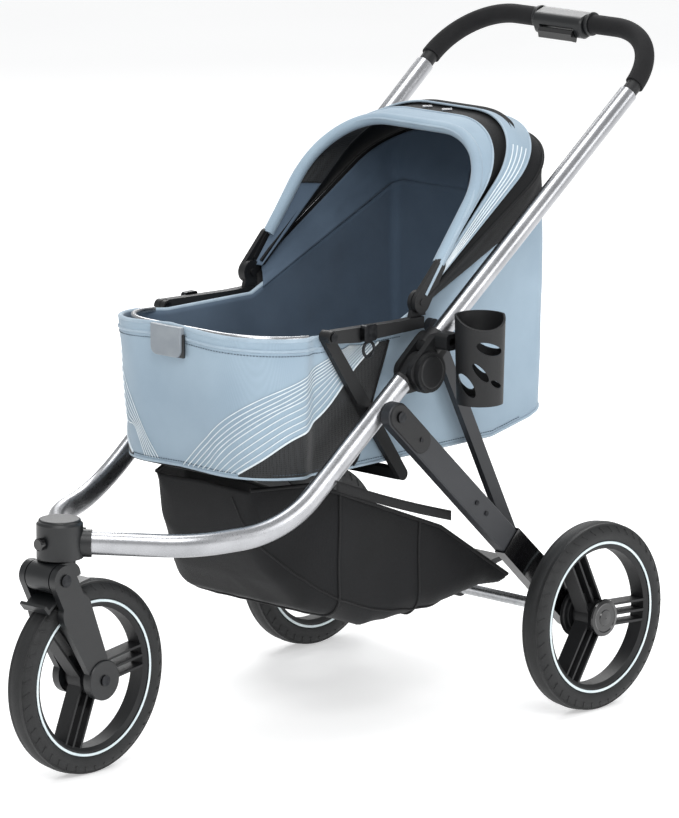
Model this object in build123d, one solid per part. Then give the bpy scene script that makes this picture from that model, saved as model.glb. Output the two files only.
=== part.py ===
"""Three-wheeled folding pet stroller.

Every length is in millimetres.  X runs across the stroller (+X is the left side), -Y is the way it
rolls, +Z is up.  While the parts are drawn, y is counted from the rear axle and z from the floor;
save() moves them so that the origin lies on the floor under the middle of the whole stroller.
"""
from build123d import *
from math import atan2, cos, degrees, radians, sin
import os

os.makedirs("parts", exist_ok=True)

# ---------------------------------------------------------------- driving dimensions
AXLE_Y = 311.5                      # rear axle behind the origin

WHEEL_R = 140.0
TYRE_HALF = 20.5
TYRE_SEAT_R = 112.5
RIM_INNER_R = 101.0
RIM_HALF = 16.0
SPOKE_PITCH = 15.0
SPOKE_THICK = 3.4
HUB_R = 20.0
AXLE_R = 6.0
RUN = 0.05                          # radial clearance of a running fit
TRACK_HALF = 285.0

TUBE_SLOPE = 37.3                   # both frame tubes rise at this angle
HUB = (-275.0, 535.0)               # fold axis, (y, z)
LEG_PIVOT = (-350.0, 483.0)
LINE_OFFSET = 13.0                  # tube centre line above the fold axis
UPPER_R = 14.0
LOWER_WIDE = 12.5                   # lower tube half width, across
LOWER_TALL = 17.0                   # lower tube half height
TUBE_WALL = 2.0
TUBE_X = 194.0                      # tube centre at the fold hub
TUBE_TOP = (203.0, 164.0, 885.0)
SLEEVE_START = 30.0                 # where the upper tube begins, along its line from the fold axis
HANDLE_BAR = (256.0, 962.0)
HANDLE_BEND = 104.0
FOAM_R = 14.6
CORE_R = 11.6

TONGUE_X = (186.5, 201.5)           # lower half of the fold hub, between two cheeks
INNER_CHEEK_X = (177.2, 185.9)
OUTER_CHEEK_X = (202.1, 211.0)
CHEEK_R = 31.0

LEG_X = 216.0
LEG_THICK = 18.0
LEG_HALF = 20.0
LEG_FOOT_X = 240.0
LINK_TOP = (-225.0, 590.0)
LINK_FOOT = (-30.0, 205.0)
LINK_X = (165.5, 176.3)
LINK_HALF = 10.5

STRUT_X = (155.0, 164.0)
STRUT_TOP = (-434.0, 603.0)
STRUT_FOOT = (-276.0, 378.0)
RAIL_X = (161.0, 175.0)
RAIL_BACK = -245.0
RAIL_Z = 600.0
CANOPY_PIVOT = (-251.0, 628.0)
CANOPY_PIVOT_X = (163.0, 177.0)
BOW_HALF = 172.0
MID_BOW_HALF = 160.0
BOW_CORNER = 118.0
FRONT_BOW = (283.0, 51.0)           # reach from the pivot and angle above level
MID_BOW = (362.0, 40.0)
BACK_BOW = (380.0, 31.0)

TUB_HALF = 153.0
NOSE_HALF = 166.0
NOSE_BACK = -456.0
NOSE_FRONT = -586.0
TUB_BACK = 45.0
TUB_FLOOR = 400.0
TUB_WALL = 5.0
NOSE_RIM = 622.0
BACK_WALL_TOP = 800.0

SWIVEL_Y = -805.0
HOUSING_R = 33.0
HOUSING_Z = (320.5, 372.0)
FORK_PIVOT = (-829.0, 296.0)
FORK_BOSS_R = 21.5
FORK_AXLE = (-757.0, 140.0)
BLADE_X = (25.0, 36.0)
KNOB_Z = 345.0
HANDLE_LEVER_PIVOT = (246.0, 950.0)


# ---------------------------------------------------------------- helpers
def save(name, *solids):
    """Write one node; a group of like pieces stays a group of separate solids."""
    shape = solids[0] if len(solids) == 1 else Compound(children=list(solids))
    export_step(Pos(0, AXLE_Y, 0) * shape, f"parts/{name}.step")


def save_pair(name, left):
    """Write the left piece and its mirror image."""
    save(name + "_left", left)
    save(name + "_right", mirror(left, about=Plane.YZ))


def both(left):
    """The left piece and its mirror image, for a group node."""
    return left, mirror(left, about=Plane.YZ)


def patch(*points):
    """Flat polygon, with its points put in counter-clockwise order."""
    area = sum(a[0] * b[1] - b[0] * a[1] for a, b in zip(points, points[1:] + points[:1]))
    return Polygon(*(points if area > 0 else points[::-1]), align=None)


def slab(outline, x_low, x_high):
    """Extrude an outline drawn in (y, z) from one x to another."""
    return extrude(Plane.YZ.offset(x_low) * outline, amount=x_high - x_low, dir=(1, 0, 0))


def disc(centre, radius, x_low, x_high):
    """Cylinder along X."""
    return slab(Pos(*centre) * Circle(radius), x_low, x_high)


def capsule(start, end, r_start, r_end):
    """Flat link outline with a round eye at each end."""
    return make_hull((Pos(*start) * Circle(r_start)).edges() + (Pos(*end) * Circle(r_end)).edges())


def on_line(along, lift=LINE_OFFSET):
    """Point (y, z) beside the fold axis: along the tube slope, and square above it."""
    slope = radians(TUBE_SLOPE)
    return (HUB[0] + along * cos(slope) - lift * sin(slope),
            HUB[1] + along * sin(slope) + lift * cos(slope))


def ray(pivot, reach, angle):
    """Point (y, z) at a reach and an angle from a pivot."""
    return pivot[0] + reach * cos(radians(angle)), pivot[1] + reach * sin(radians(angle))


def upper_start():
    """Lower end of the left upper tube's centre line."""
    return (TUBE_X, *on_line(SLEEVE_START))


def across(start, end):
    """Plane at start, facing end, with its x axis level."""
    way = Vector(*end) - Vector(*start)
    level = Vector(0, 0, 1).cross(way)
    return Plane(origin=start, x_dir=level, z_dir=way)


def ring_sweep(path, outer, inner):
    """Sweep a hollow section along a path."""
    start = path @ 0
    ahead = start + (path % 0)
    plane = across(tuple(start), tuple(ahead))
    return sweep(plane * (outer - inner), path=path)


def spin_x(outline):
    """Turn an outline drawn in (x, radius) round the X axis."""
    return revolve(outline, axis=Axis.X)


# ---------------------------------------------------------------- wheels
def tyre():
    section = Pos(0, WHEEL_R - 17) * Ellipse(TYRE_HALF, 17)
    tread = Pos(0, WHEEL_R - 8) * Rectangle(27, 13)
    seat = Pos(0, TYRE_SEAT_R - 10) * Rectangle(60, 20)
    crown = Pos(0, 0) * Circle(WHEEL_R)
    return spin_x((section + (tread & crown) - seat).face())


def spoke(angle):
    """Three thin parallel blades from the hub to the rim."""
    blades = [Pos((HUB_R + RIM_INNER_R) / 2, offset) * Rectangle(RIM_INNER_R - HUB_R + 6, SPOKE_THICK)
              for offset in (-SPOKE_PITCH, 0, SPOKE_PITCH)]
    web = Pos(HUB_R + 14, 0) * Rectangle(20, 2 * SPOKE_PITCH)
    bars = slab(Rot(0, 0, angle) * Sketch(children=blades), -13, 13)
    return bars + slab(Rot(0, 0, angle) * web, -4, 4)


def rim(first_spoke):
    band = patch((-RIM_HALF, TYRE_SEAT_R), (RIM_HALF, TYRE_SEAT_R), (RIM_HALF, RIM_INNER_R + 5),
                   (12, RIM_INNER_R), (-12, RIM_INNER_R), (-RIM_HALF, RIM_INNER_R + 5))
    wheel = spin_x(band)
    wheel += disc((0, 0), HUB_R + 4, -13, 13) + disc((0, 0), HUB_R, -20, 20)
    for turn in (0, 120, 240):
        wheel += spoke(first_spoke + turn)
    wheel -= disc((0, 0), AXLE_R + 2, -25, 25)
    wheel -= disc((0, 0), 14, 12, 25) + disc((0, 0), 14, -25, -12)
    return wheel


def bearings():
    flat = Circle(13.95) - Circle(AXLE_R + RUN)
    return slab(flat, 12, 20), slab(flat, -20, -12)


def write_wheel(name, x, y, first_spoke):
    place = Pos(x, y, WHEEL_R)
    save(name + "_tyre", place * tyre())
    save(name + "_rim", place * rim(first_spoke))
    save(name + "_bearings", *(place * part for part in bearings()))


def hub_cap():
    """Stepped round cap on the outer side of a rear wheel."""
    profile = patch((20.2, 0), (20.2, 27), (22.5, 28), (25, 27), (26, 22), (25.4, 20), (25.4, 12.5),
                      (26.6, 11.5), (27.6, 0))
    return Pos(TRACK_HALF, 0, WHEEL_R) * spin_x(profile)


# ---------------------------------------------------------------- front frame
def lower_tube():
    """Oval tube from the fold hub, down the slope and round to the steering head."""
    y_start, z_start = on_line(-38)
    path = FilletPolyline((TUBE_X, y_start, z_start), (189.5, -548, 343), (138, -682, 336), (26, -780, 341),
                          radius=[200, 190])
    outer = Ellipse(LOWER_WIDE, LOWER_TALL)
    inner = Ellipse(LOWER_WIDE - TUBE_WALL, LOWER_TALL - TUBE_WALL)
    return ring_sweep(path, outer, inner) - disc(LEG_PIVOT, 5.02, 150, 240)


def front_housing():
    """Steering head with a collar for each lower tube."""
    head = Pos(0, SWIVEL_Y, HOUSING_Z[0]) * extrude(Circle(HOUSING_R), amount=HOUSING_Z[1] - HOUSING_Z[0])
    head = chamfer(head.edges().group_by(Axis.Z)[-1], 3)
    spigot_end = (26, -780, 341)
    towards = (138, -682, 336)
    socket = across((10, -794, 341), towards)
    collar = extrude(socket * Ellipse(LOWER_WIDE + 4, LOWER_TALL + 2.8), amount=30)
    bore = extrude(across(spigot_end, towards) * Ellipse(LOWER_WIDE + 0.4, LOWER_TALL + 0.4), amount=60)
    head += collar + mirror(collar, about=Plane.YZ)
    head += Pos(0, SWIVEL_Y + 22, 341) * Box(30, 30, 36)
    head -= bore + mirror(bore, about=Plane.YZ)
    head -= Pos(0, SWIVEL_Y - HOUSING_R + 12, KNOB_Z) * Rot(90, 0, 0) * extrude(Circle(4.1), amount=40)
    return head - Pos(0, SWIVEL_Y, 300) * extrude(Circle(12), amount=68)


def housing_cap():
    lid = Pos(0, SWIVEL_Y, HOUSING_Z[1]) * extrude(Circle(HOUSING_R - 3), amount=4)
    return fillet(lid.edges().group_by(Axis.Z)[-1], 3)


def hub_socket():
    """Tongue of the fold hub with the plug that closes the lower tube."""
    neck = capsule(HUB, on_line(-34, 8), 27, 14)
    tongue = slab(neck, *TONGUE_X)
    y_plug, z_plug = on_line(-37.9)
    y_deep, z_deep = on_line(-70)
    plane = across((TUBE_X, y_plug, z_plug), (TUBE_X, y_deep, z_deep))
    plug = extrude(plane * Ellipse(LOWER_WIDE - TUBE_WALL - 0.6, LOWER_TALL - TUBE_WALL - 0.6), amount=24)
    collar = extrude(plane * Ellipse(LOWER_WIDE + 0.8, LOWER_TALL + 0.8), amount=-5)
    collar -= disc(HUB, 38, 170, 215)
    return tongue + plug + collar - disc(HUB, 6, 170, 220)


def hub_pin():
    return disc(HUB, 5.95, 178, 210)


def hub_sleeve():
    """Upper half of the fold hub: a collar round the upper tube and two cheeks."""
    plane = across(upper_start(), TUBE_TOP)
    collar = extrude(plane * (Circle(18.5) - Circle(UPPER_R)), amount=27)
    cheek = capsule(on_line(-14), on_line(34), 17.5, 18.5) + Pos(*HUB) * Circle(CHEEK_R)
    body = slab(cheek, *INNER_CHEEK_X) + slab(cheek, *OUTER_CHEEK_X)
    bridge = slab(capsule(on_line(34), on_line(40), 18, 18), INNER_CHEEK_X[0], OUTER_CHEEK_X[1])
    bridge -= disc(HUB, 29.5, 150, 240)
    body += collar + bridge
    body -= extrude(plane * Circle(UPPER_R), amount=60)
    body -= Pos(INNER_CHEEK_X[0] - 50.4, *HUB) * Box(100, 300, 300)
    return body - disc(HUB, 5.95 + RUN, 150, 240)


def hub_cover():
    """Round cap outside the fold hub."""
    rim_part = disc(HUB, 29, OUTER_CHEEK_X[1], 218) - disc(HUB, 24, 216.5, 219)
    dome = disc(HUB, 23.9, 216.5, 220)
    dome = fillet(dome.edges().group_by(Axis.X)[-1], 3)
    return rim_part + dome


def upper_tube():
    """Round tube from the fold hub to the handle."""
    length = (Vector(*TUBE_TOP) - Vector(*upper_start())).length
    section = Circle(UPPER_R - 0.02) - Circle(UPPER_R - TUBE_WALL)
    return extrude(across(upper_start(), TUBE_TOP) * section, amount=length)


def handle_path():
    """Centre line of the bent handle, from one tube top to the other."""
    x, y, z = TUBE_TOP
    corners = (x + 3, *HANDLE_BAR), (-x - 3, *HANDLE_BAR)
    return FilletPolyline(TUBE_TOP, *corners, (-x, y, z), radius=HANDLE_BEND)


def tube_end(offset, section, amount):
    """Extrude a section along the left upper tube, from a distance past its top."""
    way = (Vector(*TUBE_TOP) - Vector(*upper_start())).normalized()
    return extrude(Plane(origin=Vector(*TUBE_TOP) + way * offset, z_dir=way) * section, amount=amount)


def handle_core():
    """Bar under the foam, with a plug into the top of each upper tube."""
    path = handle_path()
    bar = sweep(across(tuple(path @ 0), tuple((path @ 0) + (path % 0))) * Circle(CORE_R), path=path)
    plug = tube_end(-45, Circle(CORE_R), 45) + Pos(*TUBE_TOP) * Sphere(CORE_R)
    return bar + plug + mirror(plug, about=Plane.YZ)


def handle_foam():
    """Foam grip over the left half of the handle."""
    whole = ring_sweep(handle_path(), Circle(FOAM_R), Circle(CORE_R + 0.02))
    side = Pos(55 + 250, 0, 950) * Box(500, 900, 500)
    return (whole & side) - tube_end(-20, Rectangle(90, 90), 38)


def handle_ring():
    """Rubber ring between the foam and the control housing."""
    band = Pos(48, *HANDLE_BAR) * Rot(0, 90, 0) * extrude(Circle(18) - Circle(CORE_R + 0.02), amount=6.8)
    return fillet(band.edges().filter_by(GeomType.CIRCLE).sort_by(SortBy.RADIUS)[-2:], 1.8)


def control_housing():
    """Shell of the fold control at the middle of the handle."""
    y, z = HANDLE_BAR
    outline = Pos(y - 3, z - 3) * Rot(0, 0, 18) * RectangleRounded(40, 35, 13)
    shell = slab(outline, -47.8, 47.8)
    shell = chamfer(shell.edges().group_by(Axis.X)[0], 2.5)
    shell = chamfer(shell.edges().group_by(Axis.X)[-1], 2.5)
    slot = slab(patch((y - 40, z - 60), (y + 2, z - 60), (y - 4, z - 15), (y - 22, z - 6),
                        (y - 40, z - 6)), -34, 34)
    return shell - slot - disc(HANDLE_BAR, CORE_R + 0.02, -60, 60)


def release_lever():
    """Squeeze lever under the front of the handle."""
    y, z = HANDLE_LEVER_PIVOT
    outline = patch((y - 1, z - 2), (y - 12, z + 3), (y - 17, z - 3), (y - 15, z - 14), (y - 4, z - 17))
    return slab(fillet(outline.vertices(), 2.2), -33, 33)


# ---------------------------------------------------------------- rear legs
def leg_frame(shape):
    """Lean a piece drawn at LEG_X outwards about the leg pivot, so that its foot meets the wheel."""
    way = Vector(0, -LEG_PIVOT[0], WHEEL_R - LEG_PIVOT[1])
    lean = -degrees(atan2(LEG_FOOT_X - LEG_X, way.length))
    square = Vector(1, 0, 0).cross(way)
    return shape.rotate(Axis((LEG_X, *LEG_PIVOT), tuple(square)), lean)


def leg_at(share):
    """Point (y, z) on the leg's middle line."""
    return (LEG_PIVOT[0] * (1 - share), LEG_PIVOT[1] + (WHEEL_R - LEG_PIVOT[1]) * share)


def rear_leg():
    outline = capsule(LEG_PIVOT, (0, WHEEL_R), LEG_HALF, LEG_HALF)
    bar = slab(outline, LEG_X - LEG_THICK / 2, LEG_X + LEG_THICK / 2)
    bar = chamfer(bar.faces().sort_by(Axis.X)[-1].edges(), 2)
    bar = leg_frame(bar)
    bar -= disc(LEG_PIVOT, 5 + RUN, 190, 260) + disc((0, WHEEL_R), AXLE_R, 200, 280)
    return bar - disc(LINK_FOOT, 5, 200, 232)


def leg_top_cap():
    """Moulded end cap on the outer face of the leg, round its pivot."""
    outline = capsule(LEG_PIVOT, leg_at(0.12), LEG_HALF - 1.5, LEG_HALF - 1.5)
    cap = slab(outline, LEG_X + LEG_THICK / 2, LEG_X + LEG_THICK / 2 + 3)
    cap = fillet(cap.faces().sort_by(Axis.X)[-1].edges(), 2)
    return leg_frame(cap) - disc(LEG_PIVOT, 8.2, 200, 260)


def leg_cover():
    """Gloss shoe over the lower end of the leg."""
    top = leg_at(0.63)
    outer = slab(capsule(top, (0, WHEEL_R), LEG_HALF + 2.5, LEG_HALF + 4), LEG_X - 8, LEG_X + 12)
    inner = slab(capsule(LEG_PIVOT, (0, WHEEL_R), LEG_HALF, LEG_HALF), LEG_X - LEG_THICK / 2,
                 LEG_X + LEG_THICK / 2)
    direction = degrees(atan2(WHEEL_R - LEG_PIVOT[1], -LEG_PIVOT[0]))
    trim = slab(Pos(*top) * Rot(0, 0, direction) * Pos(-30, 0) * Rectangle(60, 70), LEG_X - 20, LEG_X + 20)
    shoe = leg_frame(outer - inner - trim)
    shoe -= disc(LINK_FOOT, 5.2, 190, 240)
    return shoe - disc((0, WHEEL_R), AXLE_R, 200, 280)


def leg_pivot_bolt():
    """Bolt through the strut, the lower tube and the leg, with a spacer between tube and leg."""
    shank = disc(LEG_PIVOT, 5, 153.9, 229)
    head = disc(LEG_PIVOT, 8, 228.4, 231)
    nut = disc(LEG_PIVOT, 8, 153.3, 154.9)
    spacer = disc(LEG_PIVOT, 10, 204.6, 206.4) - lower_tube()
    return shank + head + nut + spacer


def leg_rivets():
    """Two screws near the top of the leg and two rivets half-way down."""
    face = LEG_X + LEG_THICK / 2
    heads = []
    places = ((leg_at(0.115), 3.2, 3.1), ((-197, 333.5), 3.6, 0.1), ((-178, 315), 3.6, 0.1))
    for centre, radius, lift in places:
        heads.append(leg_frame(disc(centre, radius, face + lift, face + lift + 1.5)))
    return heads


def brake_housing():
    """Ribbed drum between the leg and the rear wheel."""
    steps = patch((253.5, AXLE_R), (253.5, 34), (254, 36), (255.2, 33), (256.6, 36), (257.8, 33), (259.2, 36),
                    (261, 34), (261, 28), (263.6, 27), (263.6, AXLE_R))
    return Pos(0, 0, WHEEL_R) * spin_x(steps)


def rear_axle():
    return disc((0, WHEEL_R), 10, -228, 228) - disc((0, WHEEL_R), 8, -230, 230)


def axle_pin():
    return disc((0, WHEEL_R), AXLE_R - 0.01, 222, 304.9) + disc((0, WHEEL_R), 7.9, 218, 228)


def link_bolt():
    """Stand-off bolt that holds the foot of the brace link on the leg."""
    head = disc(LINK_FOOT, 8, 161.5, 165.2)
    return disc(LINK_FOOT, 4.95, 165.2, 229) + head + disc(LINK_FOOT, 8, 177, 221)


def brace_link():
    """Flat link from the hub sleeve to the leg, with a rivet head at its top."""
    bar = slab(capsule(LINK_TOP, LINK_FOOT, LINK_HALF, LINK_HALF), *LINK_X)
    bar += disc(LINK_TOP, 6.5, LINK_X[0] - 2, LINK_X[0])
    return bar - disc(LINK_FOOT, 4.95 + RUN, 150, 190)


def brake_bracket():
    """Clamp on the axle tube that carries the brake pedal."""
    block = slab(capsule((0, WHEEL_R), (24, WHEEL_R + 12), 15, 9), -26, 26)
    block -= slab(capsule((24, WHEEL_R + 12), (60, WHEEL_R + 12), 11, 14), -18, 18)
    return block - disc((0, WHEEL_R), 10, -40, 40) - disc((24, WHEEL_R + 12), 3 + RUN, -40, 40)


def brake_pedal():
    """Foot pedal behind the axle, on its own pin."""
    arm = slab(capsule((24, WHEEL_R + 12), (58, WHEEL_R + 24), 7, 5), -17.6, 17.6)
    pad = slab(capsule((50, WHEEL_R + 24), (88, WHEEL_R + 30), 5, 4), -30, 30)
    pin = disc((24, WHEEL_R + 12), 3, -25.5, 25.5)
    return arm + pad + pin


# ---------------------------------------------------------------- steering fork
def knuckle():
    """Swivelling block under the steering head."""
    stem_top = HOUSING_Z[0] - 2
    neck = Pos(0, SWIVEL_Y, stem_top - 26) * extrude(Circle(22), amount=26)
    cheek = capsule((SWIVEL_Y - 2, stem_top - 22), FORK_PIVOT, 20, FORK_BOSS_R)
    block = slab(cheek, -23, 23)
    limit = Pos(0, SWIVEL_Y, stem_top - 60) * Box(140, 200, 120)
    block = (neck + block) & limit
    block -= disc(FORK_AXLE, WHEEL_R + 19, -60, 60)
    return block - disc(FORK_PIVOT, 5, -60, 60) - swivel_stem()


def swivel_stem():
    return Pos(0, SWIVEL_Y, HOUSING_Z[0] - 20) * extrude(Circle(7.95), amount=64)


def swivel_bearings():
    """Two bushes in the steering head."""
    flat = Circle(11.98) - Circle(8)
    low = Pos(0, SWIVEL_Y, HOUSING_Z[0]) * extrude(flat, amount=10)
    high = Pos(0, SWIVEL_Y, HOUSING_Z[0] + 34) * extrude(flat, amount=10)
    return low, high


def fork():
    """Two blades with a bridge and a mudguard over the wheel."""
    blade = slab(capsule(FORK_PIVOT, (-767, 163), FORK_BOSS_R, 19), *BLADE_X)
    blade += slab(capsule((-806, 246), (-767, 163), 28, 20), *BLADE_X)
    boss = disc(FORK_AXLE, 29, BLADE_X[0], 39)
    blade += chamfer(boss.faces().sort_by(Axis.X)[-1].edges(), 1.2)
    arms = blade + mirror(blade, about=Plane.YZ)
    guard = Pos(*FORK_AXLE) * (Circle(WHEEL_R + 9) - Circle(WHEEL_R + 5))
    wedge = Pos(*FORK_AXLE) * patch((0, 0), (-20, 230), (-200, 230))
    shield = slab(guard & wedge, -BLADE_X[0], BLADE_X[0])
    lip = Pos(*FORK_AXLE) * Rot(0, 0, 130) * Pos(WHEEL_R + 11, 0) * Rectangle(14, 5)
    shield += slab(lip, -BLADE_X[0], BLADE_X[0])
    frame = arms + shield
    return frame - disc(FORK_PIVOT, 5, -60, 60) - disc(FORK_AXLE, AXLE_R, -60, 60)


def headed_bolt(centre, radius, head_radius, half):
    """Bolt across the fork with a flat head at each end."""
    heads = disc(centre, head_radius, half, half + 2.5) + disc(centre, head_radius, -half - 2.5, -half)
    return disc(centre, radius, -half - 1, half + 1) + heads


def fork_bolts():
    """Suspension pivot bolt and wheel axle."""
    return headed_bolt(FORK_PIVOT, 4.95, 9, BLADE_X[1]), headed_bolt(FORK_AXLE, AXLE_R - 0.01, 8, 39)


def lock_knob():
    """Pull knob that locks the front wheel straight."""
    stem = Pos(0, SWIVEL_Y - HOUSING_R + 11, KNOB_Z) * Rot(90, 0, 0) * extrude(Circle(4), amount=17)
    head = Pos(0, SWIVEL_Y - HOUSING_R - 1.5, KNOB_Z) * Rot(90, 0, 0) * extrude(Circle(9), amount=9)
    return stem + chamfer(head.edges(), 1.5)


# ---------------------------------------------------------------- carrier frame
def seat_frame():
    """Two flat struts joined by a bar under the seat."""
    strut = slab(capsule(STRUT_TOP, LEG_PIVOT, 9, 11) + capsule(LEG_PIVOT, STRUT_FOOT, 11, 9), *STRUT_X)
    strut -= disc(LEG_PIVOT, 5, 140, 170) + disc(STRUT_TOP, 4, 140, 170)
    cross = slab(Pos(*STRUT_FOOT) * RectangleRounded(14, 18, 5), -STRUT_X[0], STRUT_X[0])
    return strut + mirror(strut, about=Plane.YZ) + cross


def top_rail():
    """Rim rail from the strut head back to the canopy pivot."""
    outline = patch((STRUT_TOP[0], 612), (STRUT_TOP[0], 594), (-380, 588), (RAIL_BACK, 590),
                    (RAIL_BACK, 606.8), (-300, 606.8)) + Pos(*STRUT_TOP) * Circle(9.5)
    rail = slab(outline, *RAIL_X) - slab(capsule(STRUT_TOP, LEG_PIVOT, 10.5, 12), 150, 164.3)
    return rail - disc(STRUT_TOP, 4, 150, 180)


def rail_bolt():
    heads = disc(STRUT_TOP, 6.5, 175, 177.5) + disc(STRUT_TOP, 6.5, 153.3, 154.9)
    return disc(STRUT_TOP, 3.95, 154, 176) + heads


def rail_clip():
    """Spring clip on the rail with a ring for a tether."""
    block = slab(Pos(-366, 601) * RectangleRounded(26, 24, 5), 175.1, 184)
    hoop = Pos(179.5, -366, 577) * Rot(0, 90, 0) * Torus(11, 2.2)
    return block + hoop


def front_hoop():
    """Bent bar inside the front rim of the tub."""
    path = FilletPolyline((154, -464, 604), (152, -558, 611), (-152, -558, 611), (-154, -464, 604), radius=90)
    return sweep(across((154, -464, 604), (152, -558, 611)) * Circle(4), path=path)


def canopy_bracket():
    """Pivot housing of the canopy, on the back end of the rail."""
    base = slab(patch((-268, 607), (-236, 607), (-238, 620), (-264, 620)), 163, 169.5)
    return base + disc(CANOPY_PIVOT, 17, 163, 169.5) - disc(CANOPY_PIVOT, 5.05, 150, 180)


def bow(reach, angle, half, width, thick=4):
    """Flat hoop that stands on the canopy pivots."""
    outer = RectangleRounded(2 * half, 2 * reach, BOW_CORNER)
    inner = RectangleRounded(2 * (half - thick), 2 * (reach - thick), BOW_CORNER - thick)
    keep = Pos(0, reach / 2 + 20) * Rectangle(4 * half, reach)
    hoop = extrude((outer - inner) & keep, amount=width / 2, both=True)
    return Pos(0, *CANOPY_PIVOT) * Rot(angle, 0, 0) * hoop


def front_bow():
    """Front hoop of the canopy with its two moulded arms."""
    reach, angle = FRONT_BOW
    hoop = bow(reach, angle, BOW_HALF, 12)
    arm = slab(capsule(CANOPY_PIVOT, ray(CANOPY_PIVOT, 62, angle), 16, 10), 170, 177)
    pivot = disc(CANOPY_PIVOT, 5, 160, 178)
    side = arm + pivot
    return hoop + side + mirror(side, about=Plane.YZ)


def mid_bow():
    """Middle hoop of the canopy, on the inner side of the pivots."""
    reach, angle = MID_BOW
    return bow(reach, angle, MID_BOW_HALF, 10)


# ---------------------------------------------------------------- soft parts, as plain solids
def tub_plan(inset):
    """Outline of the tub seen from above: a wider round nose in front of a straight body."""
    body_long = TUB_BACK - NOSE_BACK - 2 * inset
    nose_long = NOSE_BACK - NOSE_FRONT - 2 * inset
    body = Pos(0, (NOSE_BACK + TUB_BACK) / 2) * Rectangle(2 * (TUB_HALF - inset), body_long)
    nose = Pos(0, (NOSE_FRONT + NOSE_BACK) / 2) * Rectangle(2 * (NOSE_HALF - inset), nose_long)
    nose = fillet(nose.vertices().sort_by(Axis.Y)[:2], 105 - inset)
    joint = Pos(0, NOSE_BACK) * Rectangle(2 * (TUB_HALF - inset), 30)
    return nose + body + joint


def tub_shell():
    """Walls and bottom of the fabric tub, open at the top."""
    outer = Pos(0, 0, TUB_FLOOR) * extrude(tub_plan(0), amount=BACK_WALL_TOP - TUB_FLOOR)
    inner = Pos(0, 0, TUB_FLOOR + 3) * extrude(tub_plan(TUB_WALL), amount=BACK_WALL_TOP)
    above = patch((-700, NOSE_RIM + 2), (NOSE_FRONT, NOSE_RIM), (-470, 600), (-268, 600), (-232, 622),
                    (-60, 752), (TUB_BACK - 6, BACK_WALL_TOP), (100, BACK_WALL_TOP), (100, 1000),
                    (-700, 1000))
    return outer - inner - slab(above, -300, 300)


def floor_board():
    return Pos(0, 0, TUB_FLOOR + 3.2) * extrude(tub_plan(TUB_WALL + 1), amount=5)


def mattress():
    return Pos(0, 0, TUB_FLOOR + 8.5) * extrude(tub_plan(TUB_WALL + 5), amount=22)


def canopy_skin(front, back, half, start_reach):
    """Cloth between two hoops: a thin skin over their tops and down both sides."""
    (reach_a, angle_a), (reach_b, angle_b) = front, back
    outline = patch(ray(CANOPY_PIVOT, start_reach, angle_a), ray(CANOPY_PIVOT, reach_a, angle_a),
                      ray(CANOPY_PIVOT, reach_b, angle_b), ray(CANOPY_PIVOT, start_reach, angle_b))
    inner = patch(ray(CANOPY_PIVOT, 0, angle_a + 5), ray(CANOPY_PIVOT, reach_a - 3, angle_a + 5),
                    ray(CANOPY_PIVOT, reach_a - 3, angle_a), ray(CANOPY_PIVOT, reach_b - 3, angle_b),
                    ray(CANOPY_PIVOT, reach_b - 3, angle_b - 5), ray(CANOPY_PIVOT, 0, angle_b - 5))
    return slab(outline, -half, half) - slab(inner, -half + 3, half - 3)


def basket():
    """Hanging basket, open along its top."""
    side = patch((-520, 382), (-505, 290), (-440, 196), (-330, 156), (-200, 158), (-52, 172), (-40, 186),
                   (-190, 286), (-440, 386))
    inside = patch((-516, 400), (-501, 291), (-438, 200), (-329, 160), (-200, 162), (-54, 176), (-47, 187),
                     (-186, 300), (-430, 400))
    plan = patch((-158, -30), (-158, -400), (-92, -524), (92, -524), (158, -400), (158, -30))
    inner_plan = patch((-155, -30), (-155, -399), (-89, -519), (89, -519), (155, -399), (155, -30))
    hull = extrude(plan, amount=500)
    hollow = extrude(inner_plan, amount=500)
    return (slab(side, -160, 160) & hull) - (slab(inside, -160, 160) & hollow)


def basket_strap():
    """Webbing from the lower tube to the rear leg."""
    return slab(capsule((-462, 398), (-215, 312), 8, 8), 203.6, 205.4)


def front_latch():
    """Grey clip on the front rim."""
    plate = Pos(0, NOSE_FRONT - 5.5, 598) * Box(60, 8, 44)
    plate = fillet(plate.edges().filter_by(Axis.Y).group_by(Axis.Z)[0], 12)
    plate = fillet(plate.faces().sort_by(Axis.Y)[0].edges(), 2)
    return plate


def cup_holder():
    """Open cup with leaf-shaped windows; each leaf has its offset, height, lean and half sizes."""
    centre = Pos(270.5, -231, 492)
    wall = loft([centre * Circle(33.5), centre * Pos(0, 0, 128) * Circle(36.6)])
    hollow = loft([centre * Pos(0, 0, 4) * Circle(30.5), centre * Pos(0, 0, 129) * Circle(33.6)])
    cup = wall - hollow
    top = Pos(270.5, -231, 620) * Rot(14, 22, 0) * Pos(0, 0, 40) * Box(160, 160, 80)
    cup -= top
    leaves = ((12, 84, -20, 19, 8.5), (0, 50, -50, 17, 6), (-19, 30, -58, 19, 8), (22, 32, -40, 9, 4))
    for offset, lift, lean, long, wide in leaves:
        leaf = Pos(offset, lift) * Rot(0, 0, lean) * Ellipse(long, wide)
        cup -= centre * Rot(0, 0, -46) * extrude(Plane.YZ * leaf, amount=50, both=True)
    cup -= centre * Pos(0, 0, -1) * extrude(Circle(14), amount=8)
    return cup


def cup_clip():
    """Arm that hangs the cup on the fold hub."""
    y_arm, z_arm = on_line(47)
    arm = slab(Pos(y_arm - 2, z_arm + 4) * RectangleRounded(30, 24, 6), 211.2, 235)
    arm -= slab(Pos(y_arm - 2, z_arm + 4) * RectangleRounded(18, 10, 3), 222, 242)
    return arm - extrude(across(upper_start(), TUBE_TOP) * Circle(18.6), amount=90)


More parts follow.
